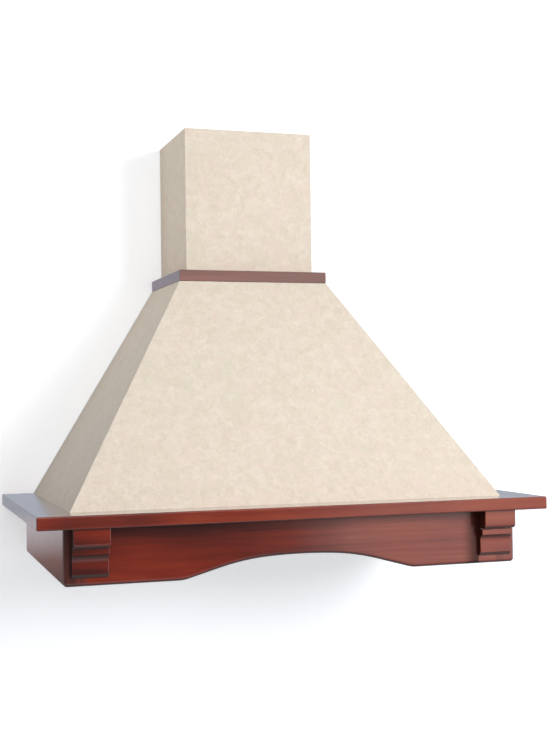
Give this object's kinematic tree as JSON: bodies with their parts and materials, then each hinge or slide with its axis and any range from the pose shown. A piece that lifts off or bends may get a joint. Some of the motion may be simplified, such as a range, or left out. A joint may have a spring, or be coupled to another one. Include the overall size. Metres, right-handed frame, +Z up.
{
  "type": "wall range hood",
  "caption": "Wall-hung range hood with a tapering coated canopy, a telescopic chimney, a wooden shelf, collar, corbels and an arched apron.",
  "frame": {"origin": "centre of the four wall screw holes, on the wall plane", "axes": "+X along the wall to the right as seen by someone facing the hood, +Y into the wall, +Z up"},
  "size_m": [0.9, 0.533, 0.8125],
  "materials": {
    "lacquered_wood": "glossy lacquer",
    "beech": "raw",
    "coated_sheet": "fine mottled stone effect",
    "galvanised": "zinc coated",
    "stainless": "brushed",
    "aluminium": "satin",
    "zinc_fastener": "zinc plated",
    "lamp_metal": "satin chrome",
    "lamp_glass": "frosted",
    "control_plastic": "fine texture",
    "button_plastic": "satin",
    "casing_plastic": "moulded",
    "spigot_plastic": "moulded",
    "motor_metal": "satin"
  },
  "bodies": {
    "hood": {"apron_front": "lacquered_wood", "apron_side_left": "lacquered_wood", "apron_side_right": "lacquered_wood", "back_panel": "galvanised", "blower_shell_left": "casing_plastic", "blower_shell_right": "casing_plastic", "canopy_front": "coated_sheet", "canopy_rivets": "zinc_fastener", "canopy_side_left": "coated_sheet", "canopy_side_right": "coated_sheet", "collar_front": "lacquered_wood", "collar_side_left": "lacquered_wood", "collar_side_right": "lacquered_wood", "corbel_left": "lacquered_wood", "corbel_right": "lacquered_wood", "corner_post_left": "lacquered_wood", "corner_post_right": "lacquered_wood", "filter_hinge_clips": "stainless", "flap_pin": "zinc_fastener", "frame_dowels": "beech", "hip_angle_left": "galvanised", "hip_angle_right": "galvanised", "lamp_housing_left": "lamp_metal", "lamp_housing_right": "lamp_metal", "lamp_lens_left": "lamp_glass", "lamp_lens_right": "lamp_glass", "lower_chimney": "coated_sheet", "mitre_biscuits": "beech", "motor_bracket": "galvanised", "motor_housing": "motor_metal", "outlet_spigot": "spigot_plastic", "sheet_screws": "zinc_fastener", "shelf_back_rail": "lacquered_wood", "shelf_front_rail": "lacquered_wood", "shelf_rail_left": "lacquered_wood", "shelf_rail_right": "lacquered_wood", "switch_box": "control_plastic", "terminal_box": "casing_plastic", "terminal_screws": "zinc_fastener", "top_plate": "galvanised", "underside_panel": "stainless", "wood_screws": "zinc_fastener"},
    "chimney_extension": {"upper_chimney": "coated_sheet", "chimney_bracket": "galvanised", "bracket_rivets": "zinc_fastener"},
    "filter_left": {"filter_frame_left": "aluminium", "filter_mesh_left": "aluminium"},
    "filter_right": {"filter_frame_right": "aluminium", "filter_mesh_right": "aluminium"},
    "latch_left": {"filter_latch_left": "control_plastic"},
    "latch_right": {"filter_latch_right": "control_plastic"},
    "light_button": {"button_1": "button_plastic"},
    "speed_button_1": {"button_2": "button_plastic"},
    "speed_button_2": {"button_3": "button_plastic"},
    "speed_button_3": {"button_4": "button_plastic"},
    "blower_wheel": {"impeller_disc": "galvanised", "impeller_cage": "galvanised", "motor_shaft": "zinc_fastener"},
    "front_flap": {"flap_front": "spigot_plastic"},
    "rear_flap": {"flap_rear": "spigot_plastic"}
  },
  "joints": [
    {"name": "chimney_telescope", "type": "slide", "parent": "hood", "child": "chimney_extension", "axis": [0, 0, 1], "range_m": [0, 0.2]},
    {"name": "filter_hinge_left", "type": "hinge", "parent": "hood", "child": "filter_left", "pos_m": [-0.179, -0.071, -0.128], "axis": [1, 0, 0], "range_deg": [0, 80]},
    {"name": "latch_slide_left", "type": "slide", "parent": "filter_left", "child": "latch_left", "axis": [0, 1, 0], "range_m": [0, 0.005], "stiffness_N_per_m": 300, "springref_m": -0.01},
    {"name": "filter_hinge_right", "type": "hinge", "parent": "hood", "child": "filter_right", "pos_m": [0.179, -0.071, -0.128], "axis": [1, 0, 0], "range_deg": [0, 80]},
    {"name": "latch_slide_right", "type": "slide", "parent": "filter_right", "child": "latch_right", "axis": [0, 1, 0], "range_m": [0, 0.005], "stiffness_N_per_m": 300, "springref_m": -0.01},
    {"name": "light_button_press", "type": "slide", "parent": "hood", "child": "light_button", "axis": [0, 0, 1], "range_m": [0, 0.003], "stiffness_N_per_m": 300, "springref_m": -0.003},
    {"name": "speed_button_1_press", "type": "slide", "parent": "hood", "child": "speed_button_1", "axis": [0, 0, 1], "range_m": [0, 0.003], "stiffness_N_per_m": 300, "springref_m": -0.003},
    {"name": "speed_button_2_press", "type": "slide", "parent": "hood", "child": "speed_button_2", "axis": [0, 0, 1], "range_m": [0, 0.003], "stiffness_N_per_m": 300, "springref_m": -0.003},
    {"name": "speed_button_3_press", "type": "slide", "parent": "hood", "child": "speed_button_3", "axis": [0, 0, 1], "range_m": [0, 0.003], "stiffness_N_per_m": 300, "springref_m": -0.003},
    {"name": "blower_spin", "type": "hinge", "parent": "hood", "child": "blower_wheel", "pos_m": [0, -0.192, 0.09], "axis": [1, 0, 0], "continuous": true},
    {"name": "front_flap_swing", "type": "hinge", "parent": "hood", "child": "front_flap", "pos_m": [0, -0.107, 0.3128], "axis": [-1, 0, 0], "range_deg": [0, 75]},
    {"name": "rear_flap_swing", "type": "hinge", "parent": "hood", "child": "rear_flap", "pos_m": [0, -0.107, 0.3128], "axis": [1, 0, 0], "range_deg": [0, 75]}
  ]
}
